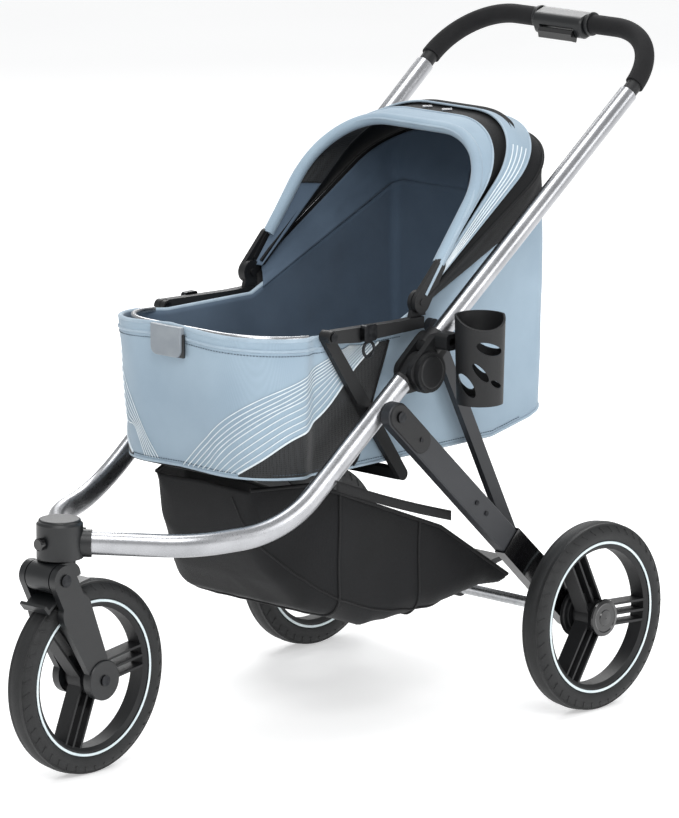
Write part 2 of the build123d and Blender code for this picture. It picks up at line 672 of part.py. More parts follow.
# ---------------------------------------------------------------- write every node
save_pair("lower_tube", lower_tube())
save("front_housing", front_housing() + housing_cap())
save("hub_sockets", *both(hub_socket()))
save("frame_bolts", *both(hub_pin()), *both(leg_pivot_bolt()), *both(rail_bolt()))
save("seat_frame", seat_frame())
save("top_rails", *both(top_rail()))
save("rail_clips", *both(rail_clip()))
save("front_hoop", front_hoop())
save("canopy_brackets", *both(canopy_bracket()))
save("tub_shell", tub_shell())
save("tub_floor_board", floor_board())
save("tub_mattress", mattress())
save("front_latch", front_latch())
save("basket", basket())
save("basket_straps", *both(basket_strap()))
save("canopy_back_skin", canopy_skin((MID_BOW[0] + 4, MID_BOW[1] - 0.7), BACK_BOW, 165, 120))
save("canopy_front_skin", canopy_skin((FRONT_BOW[0] + 4, FRONT_BOW[1]), (MID_BOW[0] + 4, MID_BOW[1] + 0.7),
                                      176, 90))

save_pair("upper_tube", upper_tube())
save("handle_core", handle_core())
save("handle_grips", *both(handle_foam()))
save("handle_rings", *both(handle_ring()))
save("control_housing", control_housing())
save("hub_sleeves", *both(hub_sleeve()))
save("hub_covers", *both(hub_cover()))
save("cup_holder", cup_holder())
save("cup_clip", cup_clip())
save("release_lever", release_lever())

save_pair("rear_leg", rear_leg())
save("leg_top_caps", *both(leg_top_cap()))
save("leg_covers", *both(leg_cover()))
save("leg_screws", *(half for head in leg_rivets() for half in both(head)))
save("brake_housings", *both(brake_housing()))
save("rear_axle", rear_axle())
save("axle_pins", *both(axle_pin()))
save("link_bolts", *both(link_bolt()))
save("brake_bracket", brake_bracket())
save("brake_pedal", brake_pedal())
save("brace_links", *both(brace_link()))

save("canopy_front_bow", front_bow())
save("canopy_mid_bow", mid_bow())

save("knuckle", knuckle())
save("swivel_stem", swivel_stem())
save("swivel_bearings", *swivel_bearings())
save("fork", fork())
save("fork_bolts", *fork_bolts())
save("lock_knob", lock_knob())

write_wheel("front_wheel", 0, FORK_AXLE[0], 8)
write_wheel("left_wheel", TRACK_HALF, 0, -4)
write_wheel("right_wheel", -TRACK_HALF, 0, 184)
save("left_wheel_cap", hub_cap())
save("right_wheel_cap", mirror(hub_cap(), about=Plane.YZ))
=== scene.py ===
"""Looks of a three-wheeled folding pet stroller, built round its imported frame.

Lengths in the tables below are millimetres, counted sideways from the middle, backwards from the rear
axle and up from the floor; at() turns them into the frame's metres.
"""
import bpy
import bmesh
import math
from mathutils import Matrix, Vector, noise


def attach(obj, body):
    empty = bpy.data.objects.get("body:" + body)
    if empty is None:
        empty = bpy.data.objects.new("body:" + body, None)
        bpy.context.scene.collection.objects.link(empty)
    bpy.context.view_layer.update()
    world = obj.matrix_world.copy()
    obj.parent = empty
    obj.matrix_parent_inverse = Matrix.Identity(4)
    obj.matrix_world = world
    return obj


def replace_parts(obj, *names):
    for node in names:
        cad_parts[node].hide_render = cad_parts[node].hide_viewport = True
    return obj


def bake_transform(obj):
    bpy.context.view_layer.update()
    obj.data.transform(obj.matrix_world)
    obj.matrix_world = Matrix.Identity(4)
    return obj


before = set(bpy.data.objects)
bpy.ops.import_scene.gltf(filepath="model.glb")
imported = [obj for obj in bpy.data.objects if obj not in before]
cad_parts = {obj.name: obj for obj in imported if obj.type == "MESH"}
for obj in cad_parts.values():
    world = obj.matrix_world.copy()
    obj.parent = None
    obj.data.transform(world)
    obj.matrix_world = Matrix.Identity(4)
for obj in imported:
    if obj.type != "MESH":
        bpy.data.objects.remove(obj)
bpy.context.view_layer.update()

AXLE_BACK = 0.3115                 # the rear axle lies this far behind the middle of the frame's box
MM = 0.001


def at(x, y, z):
    return Vector((x * MM, y * MM + AXLE_BACK, z * MM))


def blended(a, b, share):
    return a + (b - a) * share


def eased(low, high, value):
    """0 below low, 1 above high, smooth between."""
    t = min(1.0, max(0.0, (value - low) / (high - low)))
    return t * t * (3 - 2 * t)


def along(points, share):
    """A point on the smooth curve through evenly weighted points, at a share of its way."""
    spans = len(points) - 1
    place = min(spans - 1e-9, max(0.0, share * spans))
    k = int(place)
    t = place - k
    p1, p2 = Vector(points[k]), Vector(points[k + 1])
    p0 = Vector(points[k - 1]) if k else p1 * 2 - p2
    p3 = Vector(points[k + 2]) if k + 2 <= spans else p2 * 2 - p1
    return 0.5 * (2 * p1 + (p2 - p0) * t + (2 * p0 - 5 * p1 + 4 * p2 - p3) * t ** 2
                  + (3 * p1 - p0 - 3 * p2 + p3) * t ** 3)


# ---------------------------------------------------------------- materials
def tone(code):
    """Linear colour of an sRGB hex value."""
    parts = [int(code[k:k + 2], 16) / 255 for k in (0, 2, 4)]
    return (*[c / 12.92 if c <= 0.04045 else ((c + 0.055) / 1.055) ** 2.4 for c in parts], 1.0)


def add(tree, kind, inputs=None, **settings):
    """Add a node; inputs are values or sockets by name or number."""
    made = tree.nodes.new("ShaderNode" + kind)
    for key, value in settings.items():
        setattr(made, key, value)
    for key, value in (inputs or {}).items():
        if isinstance(value, bpy.types.NodeSocket):
            tree.links.new(value, made.inputs[key])
        else:
            made.inputs[key].default_value = value
    return made


def finish_of(name, light, dark, patch, rough, grain, depth, shader=None, extra=None):
    """A moulded, painted or woven finish.

    light and dark are its two tones and patch the size in mm of the drift between them; rough is its
    roughness range; grain and depth are its surface grain's size and height in mm.
    """
    made = bpy.data.materials.new(name)
    made.use_nodes = True
    tree = made.node_tree
    skin = tree.nodes["Principled BSDF"]
    place = add(tree, "TexCoord").outputs["Object"]
    drift = add(tree, "TexNoise", {"Vector": place, "Scale": 1000 / patch, "Detail": 4.0}).outputs[0]
    fine = add(tree, "TexNoise", {"Vector": place, "Scale": 1000 / grain, "Detail": 3.0}).outputs[0]
    share = add(tree, "MapRange", {"Value": drift, "From Min": 0.35, "From Max": 0.65}).outputs[0]
    colour = add(tree, "Mix", {0: share, 6: tone(light), 7: tone(dark)}, data_type="RGBA").outputs[2]
    height = fine
    if extra:
        colour, height = extra(tree, place, colour, height)
    gloss = add(tree, "MapRange", {"Value": fine, "From Min": 0.3, "From Max": 0.7, "To Min": rough[0],
                                   "To Max": rough[1]}).outputs[0]
    bump = add(tree, "Bump", {"Height": height, "Distance": depth * MM, "Strength": 1.0}).outputs[0]
    tree.links.new(colour, skin.inputs["Base Color"])
    tree.links.new(gloss, skin.inputs["Roughness"])
    tree.links.new(bump, skin.inputs["Normal"])
    for key, value in (shader or {}).items():
        skin.inputs[key].default_value = value
    return made


def woven(pitch, strength, crease=0.0):
    """Cloth threads at a pitch in mm, with painted shade between them, over the fibre grain, with soft
    creases that drift across it.
    """
    def threads(tree, place, colour, height):
        turn = add(tree, "Mapping", {"Vector": place, "Rotation": (0.0, 0.0, math.radians(45))}).outputs[0]
        warp = add(tree, "TexWave", {"Vector": turn, "Scale": 314 / pitch, "Distortion": 0.4},
                   bands_direction="X").outputs[1]
        weft = add(tree, "TexWave", {"Vector": place, "Scale": 314 / pitch, "Distortion": 0.4},
                   bands_direction="Z").outputs[1]
        cross = add(tree, "Math", {0: warp, 1: weft}, operation="MULTIPLY").outputs[0]
        # Painted shade: the colour is darkened by up to 12 % times strength where the weave is low, between
        # the threads.
        shade = add(tree, "MapRange", {"Value": cross, "To Min": 1.0 - 0.12 * strength,
                                       "To Max": 1.0}).outputs[0]
        colour = add(tree, "VectorMath", {0: colour, "Scale": shade}, operation="SCALE").outputs[0]
        total = add(tree, "Math", {0: height, 1: cross}, operation="ADD").outputs[0]
        if crease:
            soft = add(tree, "TexNoise", {"Vector": place, "Scale": 14.0, "Detail": 2.0,
                                          "Distortion": 0.8}).outputs[0]
            soft = add(tree, "Math", {0: soft, 1: crease}, operation="MULTIPLY").outputs[0]
            total = add(tree, "Math", {0: total, 1: soft}, operation="ADD").outputs[0]
        return colour, total
    return threads


def netted(hole, dark):
    """Open net: rows of round holes hole mm apart, filled with the dark tone as painted shade of the gap
    behind it.
    """
    def holes(tree, place, colour, height):
        cells = add(tree, "TexVoronoi", {"Vector": place, "Scale": 1000 / hole,
                                         "Randomness": 0.15}).outputs[0]
        edge = add(tree, "MapRange", {"Value": cells, "From Min": 0.28, "From Max": 0.5}).outputs[0]
        mixed = add(tree, "Mix", {0: edge, 6: tone(dark), 7: colour}, data_type="RGBA").outputs[2]
        return mixed, edge
    return holes


# Satin-anodised aluminium tube: an even grey metal with a soft wide highlight.
anodised_aluminium = finish_of("anodised_aluminium", "B4B5B8", "A2A3A6", 60, (0.26, 0.34), 2.2, 0.002,
                               {"Metallic": 1.0})
# Glass-filled nylon, moulded and satin: almost black, a tight soft highlight on its rounded edges.
satin_nylon = finish_of("satin_moulded_nylon", "131517", "0E1012", 45, (0.34, 0.46), 1.6, 0.03,
                        {"IOR": 1.53})
# Polypropylene from a spark-eroded mould: dull, with a fine leathery grain.
grained_plastic = finish_of("grained_polypropylene", "111214", "0C0D0F", 50, (0.48, 0.62), 1.2, 0.05,
                            {"IOR": 1.49})
# Polished ABS cap and shoe: deep black under a clear sharp reflection.
gloss_abs = finish_of("polished_abs", "0B0B0D", "070708", 60, (0.10, 0.17), 3.0, 0.006,
                      {"IOR": 1.54, "Coat Weight": 0.4, "Coat Roughness": 0.08})
# Powder-coated flat aluminium leg: charcoal, with a fine orange peel.
powder_coat = finish_of("charcoal_powder_coat", "292B2F", "222428", 80, (0.42, 0.54), 1.4, 0.035,
                        {"IOR": 1.5})
# Moulded rubber tyre: soot black going grey where dust sits in its texture.
tyre_rubber = finish_of("moulded_tyre_rubber", "191A1B", "121314", 25, (0.58, 0.74), 1.1, 0.06,
                        {"IOR": 1.52})
# Closed-cell EVA grip: dead matt black with fine pits.
grip_foam = finish_of("closed_cell_foam", "131315", "0E0E10", 20, (0.78, 0.92), 0.9, 0.14, {"IOR": 1.45})
# Zinc-plated steel screws and rivets: bright with a little haze.
zinc_steel = finish_of("zinc_plated_steel", "BEBFC1", "A9ABAE", 8, (0.22, 0.34), 0.8, 0.01, {"Metallic": 1.0})
# Blackened screws: dark steel under oil.
black_steel = finish_of("blackened_steel", "3A3B3D", "2A2B2D", 8, (0.28, 0.4), 0.8, 0.01, {"Metallic": 1.0})
# Grey ABS latch: satin, even, a touch of moulded grain.
latch_abs = finish_of("grey_satin_abs", "8C9399", "7F868D", 40, (0.36, 0.46), 1.2, 0.02, {"IOR": 1.52})
# Polyester oxford cloth, dusty blue: dull threads with a pale sheen at grazing light.
blue_oxford = finish_of("blue_polyester_oxford", "A0B4C3", "95A9B9", 120, (0.72, 0.86), 1.0, 0.10,
                        {"Sheen Weight": 0.25, "Sheen Roughness": 0.4, "IOR": 1.45},
                        extra=woven(1.3, 0.7, 9.0))
# The same cloth's lining inside the tub: slate cloth, with painted shade making it darker still for the shade
# inside the tub and hood.
slate_lining_painted_shade = finish_of("slate_polyester_lining_painted_shade", "55677A", "4B5C6E", 120, (0.74, 0.86), 1.0, 0.10,
                         {"Sheen Weight": 0.2, "IOR": 1.45}, extra=woven(1.3, 0.6, 9.0))
# Folded binding tape and piping: the blue cloth pulled tight over a cord, painted a shade lighter as a
# painted highlight on its raised edge.
blue_binding_painted_highlight = finish_of("blue_binding_tape_painted_highlight", "A9BCCA", "9DB0BF", 30, (0.62, 0.76), 0.8, 0.10,
                         {"Sheen Weight": 0.25, "IOR": 1.45}, extra=woven(1.6, 0.9))
# Black oxford cloth of the basket and hood gussets.
black_oxford = finish_of("black_polyester_oxford", "0D0E11", "090A0C", 110, (0.70, 0.84), 1.0, 0.10,
                         {"Sheen Weight": 0.03, "Sheen Roughness": 0.45, "IOR": 1.4},
                         extra=woven(1.3, 0.8, 10.0))
# Black edge tape and webbing: ribbed across its length, denser than the cloth.
black_webbing = finish_of("black_webbing", "101113", "0B0B0D", 30, (0.66, 0.8), 0.9, 0.15,
                          {"IOR": 1.45}, extra=woven(2.2, 1.6))
# Knitted net with its holes painted near-black, as painted shade of the gap behind it: the holes are drawn 3
# mm apart, coarser than the real 1.5 mm, so that they show.
black_net = finish_of("black_knitted_net", "2B2D2F", "222426", 60, (0.6, 0.74), 1.0, 0.35,
                      {"Sheen Weight": 0.15, "IOR": 1.45}, extra=netted(3.0, "0B0C0D"))
# Reflective print on the cloth: thin off-white ink, slightly raised.
pale_print = finish_of("pale_reflective_print", "E3EBEF", "D6E0E6", 15, (0.4, 0.5), 0.6, 0.02, {"IOR": 1.5})
# Pale blue-white ring moulded into the wheel.
ring_enamel = finish_of("pale_wheel_ring", "E2EDF0", "D3E1E5", 40, (0.3, 0.4), 1.0, 0.01, {"IOR": 1.5})
# Sewing thread: dark slate, dull.
slate_thread = finish_of("slate_sewing_thread", "4C5B68", "3F4C58", 10, (0.7, 0.8), 0.5, 0.05, {"IOR": 1.5})
# Quilted fleece of the mattress: soft slate pile.
fleece_pile = finish_of("slate_fleece", "6D7F8E", "5F7180", 40, (0.86, 0.96), 1.4, 0.5,
                        {"Sheen Weight": 0.5, "Sheen Roughness": 0.6, "IOR": 1.42})
# Hardboard under the mattress, in a black sleeve.
sleeve_board = finish_of("sleeved_hardboard", "202124", "18191B", 60, (0.6, 0.7), 1.0, 0.05, {"IOR": 1.47})

FRAME_FINISHES = {
    anodised_aluminium: ("lower_tube_left", "lower_tube_right", "upper_tube_left", "upper_tube_right"),
    satin_nylon: ("front_housing", "fork", "knuckle", "control_housing", "handle_rings"),
    grained_plastic: ("hub_sockets", "seat_frame", "top_rails", "canopy_brackets", "handle_core",
                      "hub_sleeves", "hub_covers", "cup_holder", "cup_clip", "leg_top_caps",
                      "brake_housings", "brake_bracket", "brake_pedal", "canopy_front_bow",
                      "canopy_mid_bow", "front_wheel_rim", "left_wheel_rim", "right_wheel_rim"),
    gloss_abs: ("leg_covers", "lock_knob", "left_wheel_cap", "right_wheel_cap", "release_lever"),
    powder_coat: ("rear_leg_left", "rear_leg_right", "brace_links"),
    grip_foam: ("handle_grips",),
    tyre_rubber: ("front_wheel_tyre", "left_wheel_tyre", "right_wheel_tyre"),
    zinc_steel: ("front_hoop", "rear_axle", "axle_pins", "swivel_stem", "swivel_bearings",
                 "front_wheel_bearings", "left_wheel_bearings", "right_wheel_bearings", "link_bolts"),
    black_steel: ("frame_bolts", "rail_clips", "leg_screws", "fork_bolts"),
    latch_abs: ("front_latch",),
    blue_oxford: ("tub_shell", "canopy_back_skin", "canopy_front_skin"),
    fleece_pile: ("tub_mattress",),
    sleeve_board: ("tub_floor_board",),
    black_oxford: ("basket",),
    black_webbing: ("basket_straps",)}
for finish, names in FRAME_FINISHES.items():
    for name in names:
        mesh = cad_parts[name].data
        mesh.materials.clear()
        mesh.materials.append(finish)


# ---------------------------------------------------------------- piece tools
def publish(bm, name, finish, body, smooth=True):
    """Put a finished bmesh in the scene as one piece that rides a body (or stays free if body is None)."""
    bmesh.ops.recalc_face_normals(bm, faces=bm.faces)
    for face in bm.faces:
        face.smooth = smooth
    mesh = bpy.data.meshes.new(name)
    bm.to_mesh(mesh)
    bm.free()
    mesh.materials.append(finish)
    piece = bpy.data.objects.new(name, mesh)
    bpy.context.scene.collection.objects.link(piece)
    if body:
        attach(piece, body)
    return piece


def length_of(points):
    return sum((b - a).length for a, b in zip(points, points[1:]))


def hang(piece, cut):
    """Take a sheet's flat cut apart: longest way across, longest way down and area; the piece is not used and
    nothing more is done.
    """
    wide, tall, area = cut


def sheet_of(name, place, across, down, finish, body, thick=1.2, closed=False):
    """Cloth from a flat grid: place(u, v) hangs each point, u and v from 0 to 1."""
    bm = bmesh.new()
    bmesh.ops.create_grid(bm, x_segments=across, y_segments=down, size=0.5)
    for vert in bm.verts:
        vert.co = place(vert.co.x + 0.5, vert.co.y + 0.5)
    if closed:
        bmesh.ops.remove_doubles(bm, verts=bm.verts, dist=0.0004)
    area = sum(face.calc_area() for face in bm.faces)
    wide = max(length_of([place(k / 60, row / 8) for k in range(61)]) for row in range(9))
    tall = max(length_of([place(row / 16, k / 30) for k in range(31)]) for row in range(17))
    piece = publish(bm, name, finish, body)
    back = piece.modifiers.new("thickness", "SOLIDIFY")
    back.thickness = thick * MM
    back.offset = 0
    return piece, (max(wide, area / tall), tall, area)


def cord(name, points, radius, finish, body, closed=False):
    """Piping, thread or strap edge: a round cord swept along points."""
    line = bpy.data.curves.new(name, "CURVE")
    line.dimensions = "3D"
    line.bevel_depth = radius * MM
    line.bevel_resolution = 3
    line.use_fill_caps = not closed
    way = line.splines.new("POLY")
    way.points.add(len(points) - 1)
    for spot, point in zip(way.points, points):
        spot.co = (*point, 1.0)
    way.use_cyclic_u = closed
    holder = bpy.data.objects.new(name + "_line", line)
    bpy.context.scene.collection.objects.link(holder)
    bpy.context.view_layer.update()
    mesh = bpy.data.meshes.new_from_object(holder.evaluated_get(bpy.context.evaluated_depsgraph_get()))
    bpy.data.objects.remove(holder)
    mesh.name = name
    mesh.materials.clear()
    mesh.materials.append(finish)
    for face in mesh.polygons:
        face.use_smooth = True
    piece = bpy.data.objects.new(name, mesh)
    bpy.context.scene.collection.objects.link(piece)
    if body:
        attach(piece, body)
    return piece


def stitches(name, place, count, body, long=0.6):
    """Row of sewn stitches: short threads along place(share), each a capsule-like rod."""
    bm = bmesh.new()
    for k in range(count):
        a, b = place(k / count), place((k + long) / count)
        rod = bmesh.ops.create_cone(bm, cap_ends=True, segments=6, radius1=0.00055, radius2=0.00055,
                                    depth=(b - a).length)["verts"]
        turn = (b - a).to_track_quat("Z", "Y").to_matrix().to_4x4()
        bmesh.ops.transform(bm, verts=rod, matrix=Matrix.Translation((a + b) / 2) @ turn)
    return publish(bm, name, slate_thread, body)


def table(rows, value):
    """Straight-line reading of a table of (place, height) rows."""
    for (a, low), (b, high) in zip(rows, rows[1:]):
        if value <= b:
            return low + (high - low) * (value - a) / (b - a)
    return rows[-1][1]


# ---------------------------------------------------------------- tub
HALF_ROUND = 899.0                 # half of the way round the tub, from the middle of its nose


def tub_plan(way):
    """Point and outward direction of the tub's plan, way mm from the middle of the nose."""
    if way < 61:
        return way, -586.0, 0.0, -1.0
    if way < 226:
        turn = (way - 61) / 105
        return 61 + 105 * math.sin(turn), -481 - 105 * math.cos(turn), math.sin(turn), -math.cos(turn)
    if way < 263:
        share = eased(226, 263, way)
        return 166 - 13 * share, -481 + 35 * (way - 226) / 37, 1.0, 0.0
    if way < 734:
        return 153.0, -446 + (way - 263), 1.0, 0.0
    if way < 766:
        turn = (way - 734) / 20.4
        return 133 + 20 * math.cos(turn), 25 + 20 * math.sin(turn), math.cos(turn), math.sin(turn)
    return 133 - (way - 766), 45.0, 0.0, 1.0


TUB_TOP = ((0, 621), (226, 605), (269, 601), (441, 600), (469, 612), (734, 727), (770, 735), (899, 735))
TUB_HEM = ((0, 412), (192, 406), (255, 403), (330, 400), (640, 400), (720, 416), (770, 436), (899, 437))


def tub_at(way, z, out=0.0):
    """Point of the tub's cloth at a signed way round and a height, out mm proud of it."""
    x, y, nx, ny = tub_plan(min(HALF_ROUND, abs(way)))
    low = 1 - min(1.0, max(0.0, (z - 405) / 215))
    inset = 23 * low * (0.25 + 0.75 * max(0.0, -ny)) - out
    return at(math.copysign(1, way) * (x - nx * inset), y - ny * inset, z)


def ripple(way, z, size):
    """Slack in the cloth: broad swells, with short diagonal puckers close to the rim."""
    broad = noise.noise(Vector((way / 90, z / 70, 3.1)))
    pucker = math.sin(way / 6.5 + z / 5 + 4 * noise.noise(Vector((way / 60, 0, 7))))
    near_rim = eased(45, 8, table(TUB_TOP, abs(way)) - z) if table(TUB_TOP, abs(way)) - z < 45 else 0
    return size * (broad + 0.35 * near_rim * pucker)


def tub_wall(u, v):
    way = (2 * u - 1) * HALF_ROUND
    low, high = table(TUB_HEM, abs(way)), table(TUB_TOP, abs(way))
    z = blended(low, high, v)
    return tub_at(way, z, ripple(way, z, 1.6) * math.sin(math.pi * v) ** 0.4 if 0 < v < 1 else 0)


def tub_lining(u, v):
    way = (2 * u - 1) * HALF_ROUND
    z = blended(table(TUB_HEM, abs(way)) + 10, table(TUB_TOP, abs(way)) - 1, v)
    return tub_at(way, z, -6 + 1.5 * noise.noise(Vector((way / 55, z / 60, 9))))


def tub_span(v, u, z, shrink=0.0):
    """Point of a level panel that fills the tub's plan: v from nose to back, u from side to side."""
    x, y, nx, ny = tub_plan(v * HALF_ROUND)
    inset = 23 * 0.9 * (0.25 + 0.75 * max(0.0, -ny)) + shrink
    return at((2 * u - 1) * max(0.0, x - nx * inset), y - ny * inset, z)


def top_at(way):
    """Height of the tub's top edge at a signed way round."""
    return table(TUB_TOP, abs(way))


def hem_at(way):
    """Height of the tub's hem at a signed way round."""
    return table(TUB_HEM, abs(way))


def rim_stitch(share):
    way = -438 + 876 * share
    return tub_at(way, top_at(way) - 22, 1.4)


def hem_stitch(share):
    way = -700 + 1400 * share
    return tub_at(way, hem_at(way) + 7, 1.4)


def base_at(u, v):
    return tub_span(v, u, hem_at(v * HALF_ROUND) - 1)


shell, shell_cut = sheet_of("tub_outer_cloth", tub_wall, 420, 34, blue_oxford, "front_frame", 1.4, True)
lining, lining_cut = sheet_of("tub_lining_cloth", tub_lining, 360, 26, slate_lining_painted_shade, "front_frame", 1.4, True)
rim_ways = [-HALF_ROUND + 2 * HALF_ROUND * k / 360 for k in range(360)]
nose_ways = [-440 + 880 * k / 220 for k in range(221)]
shell_trims = [
    cord("tub_rim_piping", [tub_at(w, top_at(w) - 1, -2.5) for w in rim_ways], 3.6, blue_binding_painted_highlight,
         "front_frame", True),
    cord("tub_rim_lower_piping", [tub_at(w, top_at(w) - 15, 0.6) for w in nose_ways], 2.3, blue_binding_painted_highlight,
         "front_frame"),
    cord("tub_hem_piping", [tub_at(w, hem_at(w) + 1, 0.3) for w in rim_ways], 2.4, blue_binding_painted_highlight,
         "front_frame", True),
    stitches("tub_rim_stitching", rim_stitch, 190, "front_frame"),
    stitches("tub_hem_stitching", hem_stitch, 280, "front_frame")]
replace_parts(shell, "tub_shell")
hang(shell, shell_cut)
hang(lining, lining_cut)
base, base_cut = sheet_of("tub_base_cloth", base_at, 20, 90, black_oxford, "front_frame", 1.4)
hang(base, base_cut)


# Printed lines: three rows fan from the hem at the nose back to the rail.
TOP_LINE = ((6, 415, 0), (48, 454, 0), (96, 493, 0), (156, 526, 0), (219, 547, 0), (279, 565, 0),
            (332, 581, 0))
MIDDLE_LINE = ((54, 415, 0), (108, 460, 0), (177, 502, 0), (228, 520, 0), (262, 534, 0), (294, 547, 0),
               (352, 578, 0))
LOW_LINE = ((117, 415, 0), (156, 436, 0), (201, 462, 0), (250, 478, 0), (290, 500, 0), (345, 549, 0),
            (390, 577, 0))


def printed_line(name, points, width):
    def place(u, v):
        here, ahead = along(points, u), along(points, min(1.0, u + 0.01))
        back = along(points, max(0.0, u - 0.01))
        way = (ahead - back).normalized()
        spot = here + Vector((-way.y, way.x, 0)) * (v - 0.5) * width
        return tub_at(spot.x, spot.y, 1.9 + ripple(spot.x, spot.y, 1.6) * 0.9)
    return sheet_of(name, place, 60, 2, pale_print, "front_frame", 0.5)[0]


def line_between(a, b, share):
    return [tuple(blended(Vector(p), Vector(q), share)) for p, q in zip(a, b)]


for k in range(11):
    share = k / 5
    rows = line_between(TOP_LINE, MIDDLE_LINE, share) if share <= 1 else line_between(MIDDLE_LINE, LOW_LINE,
                                                                                     share - 1)
    printed_line("tub_print_near_%d" % k, rows, 1.6)
    if k < 6:
        fan = ((-44 - 6 * k, 416, 0), (-72 - 5 * k, 456, 0), (-106 - 4 * k, 506 - 9 * k, 0),
               (-150 - 2 * k, 548 - 12 * k, 0), (-210, 580 - 15 * k, 0))
        printed_line("tub_print_far_%d" % k, fan, 1.6)

NET_FOOT = ((117, 410, 0), (200, 407, 0), (290, 405, 0), (345, 405, 0), (366, 455, 0), (385, 507, 0),
            (402, 550, 0), (412, 577, 0))


def side_net(side):
    def place(u, v):
        spot = blended(along(NET_FOOT, u), along(LOW_LINE, u), v)
        return tub_at(side * spot.x, spot.y, 1.3 + 0.9 * ripple(spot.x, spot.y, 1.6))
    name = "near" if side > 0 else "far"
    net, cut = sheet_of("tub_net_" + name, place, 70, 30, black_net, "front_frame", 0.9)
    edge = [tub_at(side * p.x, p.y, 2.0) for p in (along(NET_FOOT, 0.42 + 0.58 * k / 40) for k in range(41))]
    trim = cord("tub_net_edge_" + name, edge, 1.8, black_webbing, "front_frame")
    upper = [tub_at(side * p.x, p.y, 2.0) for p in (along(LOW_LINE, k / 50) for k in range(51))]
    piping = cord("tub_net_piping_" + name, upper, 1.5, pale_print, "front_frame")
    hang(net, cut)


side_net(1)
side_net(-1)


def block(name, size, centre, edge, finish, body):
    """Moulded block with rounded edges."""
    bm = bmesh.new()
    bmesh.ops.create_cube(bm, size=1)
    bmesh.ops.scale(bm, vec=Vector(size) * MM, verts=bm.verts)
    bmesh.ops.bevel(bm, geom=bm.edges, offset=edge * MM, segments=4, profile=0.5, affect="EDGES", material=-1)
    bmesh.ops.translate(bm, vec=at(*centre), verts=bm.verts)
    return publish(bm, name, finish, body)


block("front_latch_base", (46, 5, 34), (10, -589.5, 593), 1.8, satin_nylon, "front_frame")


def floor_board():
    """Stiff board that fills the tub's foot."""
    bm = bmesh.new()
    bmesh.ops.create_cube(bm, size=2)
    bmesh.ops.bevel(bm, geom=[e for e in bm.edges if abs(e.verts[0].co.z - e.verts[1].co.z) < 1], offset=0.3,
                    segments=3, profile=0.5, affect="EDGES", material=-1)
    for _ in range(5):
        long = [e for e in bm.edges
                if e.calc_length() > 0.09 and abs(e.verts[0].co.z - e.verts[1].co.z) < 0.1]
        bmesh.ops.subdivide_edges(bm, edges=long, cuts=1, use_grid_fill=True)
    for vert in bm.verts:
        a, b, c = vert.co
        low = table(TUB_HEM, (0.39 + 0.39 * b) * HALF_ROUND)
        vert.co = tub_span(0.39 + 0.39 * b, 0.5 + 0.5 * a, low + 5 + 2.4 * c, 5)
    return publish(bm, "sleeved_floor_board", sleeve_board, "front_frame")


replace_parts(floor_board(), "tub_floor_board")


def pillow():
    """Crowned mattress, quilted in squares, with a soft falling edge."""
    bm = bmesh.new()
    bmesh.ops.create_cube(bm, size=2)
    for _ in range(5):
        bmesh.ops.subdivide_edges(bm, edges=bm.edges, cuts=1, use_grid_fill=True)
    for vert in bm.verts:
        a, b, c = vert.co
        rise = (1 - abs(a) ** 6) ** 0.5 * (1 - abs(b) ** 10) ** 0.5
        quilt = 1 - 0.16 * max(abs(math.cos(a * 7.85)) ** 14, abs(math.cos(b * 15.7)) ** 14)
        half = 3 + 9 * rise * quilt
        side = 3 * (1 - c * c)
        low = max(405.0, table(TUB_HEM, (0.5 + 0.5 * b) * HALF_ROUND))
        vert.co = tub_span(0.5 + 0.5 * b, 0.5 + 0.5 * a, low + 19 + c * half + 2 * rise, 14 - side)
    return publish(bm, "mattress_pad", fleece_pile, "front_frame")


pad = pillow()
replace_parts(pad, "tub_mattress")


# ---------------------------------------------------------------- hood
PIVOT = (-251.0, 628.0)            # hood pivot: backwards and up
HOOP_CORNER = 118.0
# Each hoop's reach from the pivot, angle above level and half width.
FRONT, MIDDLE, BACK = (283, 51, 172), (362, 40, 160), (380, 31, 172)


def hoop_at(hoop, share, out=0.0):
    """Point of a hood hoop: share runs -1..1 from pivot over the top to the other pivot."""
    reach, angle, half = hoop
    corner = HOOP_CORNER
    rise, bend, top = reach - corner, corner * math.pi / 2, half - corner
    way = (1 - abs(share)) * (rise + bend + top)
    if way < rise:
        x, r = half + out, way
    elif way < rise + bend:
        turn = (way - rise) / corner
        x, r = half - corner + (corner + out) * math.cos(turn), rise + (corner + out) * math.sin(turn)
    else:
        x, r = half - corner - (way - rise - bend), reach + out
    lean = math.radians(angle)
    side = math.copysign(x, share) if share else 0.0
    return at(side, PIVOT[0] + r * math.cos(lean), PIVOT[1] + r * math.sin(lean))


def turned(a, b, share):
    return tuple(blended(p, q, share) for p, q in zip(a, b))


def hood(a, b, out, dip, seed, keep=0.97):
    """Cloth between two hoops, drawn in by dip mm halfway, with soft folds."""
    def place(u, v):
        share = (2 * u - 1) * keep
        slack = dip * math.sin(math.pi * v)
        fold = 1.6 * noise.noise(Vector((share * 5, v * 2, seed))) * math.sin(math.pi * v)
        return hoop_at(turned(a, b, v), share, out - slack + fold)
    return place


